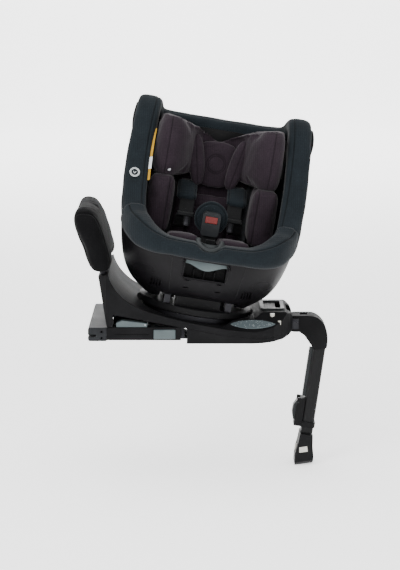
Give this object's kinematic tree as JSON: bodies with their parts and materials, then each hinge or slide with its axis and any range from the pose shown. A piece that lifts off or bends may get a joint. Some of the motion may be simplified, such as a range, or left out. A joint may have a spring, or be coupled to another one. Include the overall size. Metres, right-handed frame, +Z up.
{
  "type": "convertible car seat",
  "caption": "Rotating child car seat with padded shell and harness on a tilted turntable base with connector arms, rebound bar and folding support leg.",
  "frame": {"origin": "on the flat underside of the base, where a line dropped from the swivel axis at the swivel plane meets it", "axes": "+Z up, -X towards the connector end with the rebound bar, +X towards the support leg; the seat is turned to its boarding position and faces -Y"},
  "size_m": [0.6431, 0.4508, 0.9547],
  "materials": {
    "base_plastic": "fine matt moulded grain",
    "shell_plastic": "fine satin moulded grain",
    "black_plastic": "matt black moulded",
    "satin_plastic": "satin grey moulded",
    "silver_plastic": "silver moulded",
    "teal_plastic": "grey-green matt moulded",
    "leg_plastic": "matt moulded",
    "buckle_plastic": "satin dark grey moulded",
    "red_plastic": "satin red moulded",
    "dark_tongue": "satin dark moulded over steel",
    "clear_lens": "polished lens",
    "speckled_rubber": "speckled grey rubber",
    "rubber": "matt",
    "steel": "zinc plated",
    "black_steel": "black powder coat",
    "leg_paint": "dark grey powder coat",
    "slate_fabric": "slate knit",
    "burgundy_fabric": "dark aubergine knit",
    "black_fabric": "charcoal knit",
    "webbing": "woven polyester webbing",
    "foam": "moulded bead foam"
  },
  "bodies": {
    "base": {"base_upper_shell": "base_plastic", "base_lower_shell": "base_plastic", "base_chassis": "steel", "base_screws": "steel", "bearing_ring": "steel", "front_bezel": "satin_plastic", "status_windows": "clear_lens", "sole_plate": "speckled_rubber", "leg_bracket": "black_steel", "leg_pivot_pin": "steel", "rebound_frame": "black_steel", "rebound_pad": "black_fabric", "latch_pins": "steel"},
    "rotation_lock": {"rotation_lock": "black_plastic"},
    "latch_levers": {"latch_levers": "teal_plastic"},
    "isofix_carriage": {"isofix_crossbar": "satin_plastic", "isofix_arms": "base_plastic"},
    "isofix_hooks": {"isofix_hooks": "steel"},
    "release_button_left": {"release_button_left": "teal_plastic"},
    "release_button_right": {"release_button_right": "teal_plastic"},
    "support_leg": {"leg_elbow": "leg_plastic", "leg_outer_tube": "leg_paint", "leg_notch_rail": "satin_plastic", "leg_adjuster_housing": "black_plastic"},
    "leg_lever": {"leg_lever": "teal_plastic"},
    "leg_slider": {"leg_inner_tube": "leg_paint", "leg_foot": "black_plastic", "foot_sole": "rubber", "foot_indicators": "silver_plastic"},
    "turntable": {"turntable_disc": "black_plastic", "bearing_balls": "steel", "recline_rails": "black_plastic"},
    "seat": {"seat_lower_shell": "shell_plastic", "seat_back_shell": "shell_plastic", "handle_housing": "black_plastic", "recline_carriers": "steel", "recline_rollers": "steel", "foam_core": "foam", "seat_liner": "slate_fabric", "wing_rolls": "slate_fabric", "lip_pad": "slate_fabric", "seat_cushion": "slate_fabric", "back_pad": "slate_fabric", "body_insert": "burgundy_fabric", "torso_bolsters": "burgundy_fabric", "shoulder_pads": "slate_fabric", "buckle_tongues": "dark_tongue", "harness_webbing": "webbing", "crotch_pad": "slate_fabric", "buckle_housing": "buckle_plastic", "adjuster_bezel": "satin_plastic"},
    "recline_handle": {"recline_handle": "teal_plastic"},
    "buckle_button": {"buckle_button": "red_plastic"},
    "adjuster_button": {"adjuster_button": "black_plastic"},
    "headrest": {"headrest_shell": "black_plastic", "headrest_back": "burgundy_fabric", "headrest_wings": "burgundy_fabric", "head_pillow": "burgundy_fabric", "ear_pillows": "burgundy_fabric"},
    "headrest_lever": {"headrest_lever": "black_plastic"}
  },
  "joints": [
    {"name": "seat_swivel", "type": "hinge", "parent": "base", "child": "turntable", "pos_m": [0, 0, 0.075], "axis": [0.165, 0, 0.9863], "continuous": true},
    {"name": "seat_recline", "type": "hinge", "parent": "turntable", "child": "seat", "pos_m": [0.05777, 0, 0.4202], "axis": [-0.9857, -0.0349, 0.1649], "range_deg": [0, 10]},
    {"name": "recline_handle_pull", "type": "slide", "parent": "seat", "child": "recline_handle", "axis": [0.0344, -0.9994, -0.0058], "range_m": [0, 0.01], "stiffness_N_per_m": 300, "springref_m": -0.004},
    {"name": "buckle_button_press", "type": "slide", "parent": "seat", "child": "buckle_button", "axis": [-0.0344, 0.9994, 0.0058], "range_m": [0, 0.004], "stiffness_N_per_m": 600, "springref_m": -0.002},
    {"name": "adjuster_button_press", "type": "slide", "parent": "seat", "child": "adjuster_button", "axis": [-0.165, 0, -0.9863], "range_m": [0, 0.0035], "stiffness_N_per_m": 600, "springref_m": -0.002},
    {"name": "headrest_slide", "type": "slide", "parent": "seat", "child": "headrest", "axis": [0.165, 0, 0.9863], "range_m": [0, 0.1]},
    {"name": "headrest_lever_lift", "type": "slide", "parent": "headrest", "child": "headrest_lever", "axis": [0.165, 0, 0.9863], "range_m": [0, 0.006], "stiffness_N_per_m": 300, "springref_m": -0.003},
    {"name": "leg_fold", "type": "hinge", "parent": "base", "child": "support_leg", "pos_m": [0.256, 0, 0.024], "axis": [0, 1, 0], "range_deg": [0, 80]},
    {"name": "leg_extend", "type": "slide", "parent": "support_leg", "child": "leg_slider", "axis": [-0.1392, 0, -0.9903], "range_m": [0, 0.15]},
    {"name": "leg_lever_squeeze", "type": "hinge", "parent": "support_leg", "child": "leg_lever", "pos_m": [0.26758, 0, -0.18478], "axis": [0, -1, 0], "range_deg": [0, 8], "stiffness_Nm_per_rad": 0.5, "springref_deg": -5.73},
    {"name": "isofix_extend", "type": "slide", "parent": "base", "child": "isofix_carriage", "axis": [-1, 0, 0], "range_m": [0, 0.09]},
    {"name": "isofix_hook_close", "type": "hinge", "parent": "isofix_carriage", "child": "isofix_hooks", "pos_m": [-0.236, 0.14, 0.031], "axis": [0, -1, 0], "range_deg": [0, 25], "stiffness_Nm_per_rad": 0.05, "springref_deg": -5.73},
    {"name": "release_button_left_press", "type": "slide", "parent": "isofix_carriage", "child": "release_button_left", "axis": [0, -1, 0], "range_m": [0, 0.004], "stiffness_N_per_m": 500, "springref_m": -0.002},
    {"name": "release_button_right_press", "type": "slide", "parent": "isofix_carriage", "child": "release_button_right", "axis": [0, 1, 0], "range_m": [0, 0.004], "stiffness_N_per_m": 500, "springref_m": -0.002},
    {"name": "latch_levers_lift", "type": "hinge", "parent": "base", "child": "latch_levers", "pos_m": [-0.124, 0.15, 0.047], "axis": [0, 1, 0], "range_deg": [0, 8], "stiffness_Nm_per_rad": 0.5, "springref_deg": -5.73},
    {"name": "rotation_lock_slide", "type": "slide", "parent": "base", "child": "rotation_lock", "axis": [1, 0, 0], "range_m": [0, 0.012], "stiffness_N_per_m": 300, "springref_m": -0.003}
  ]
}
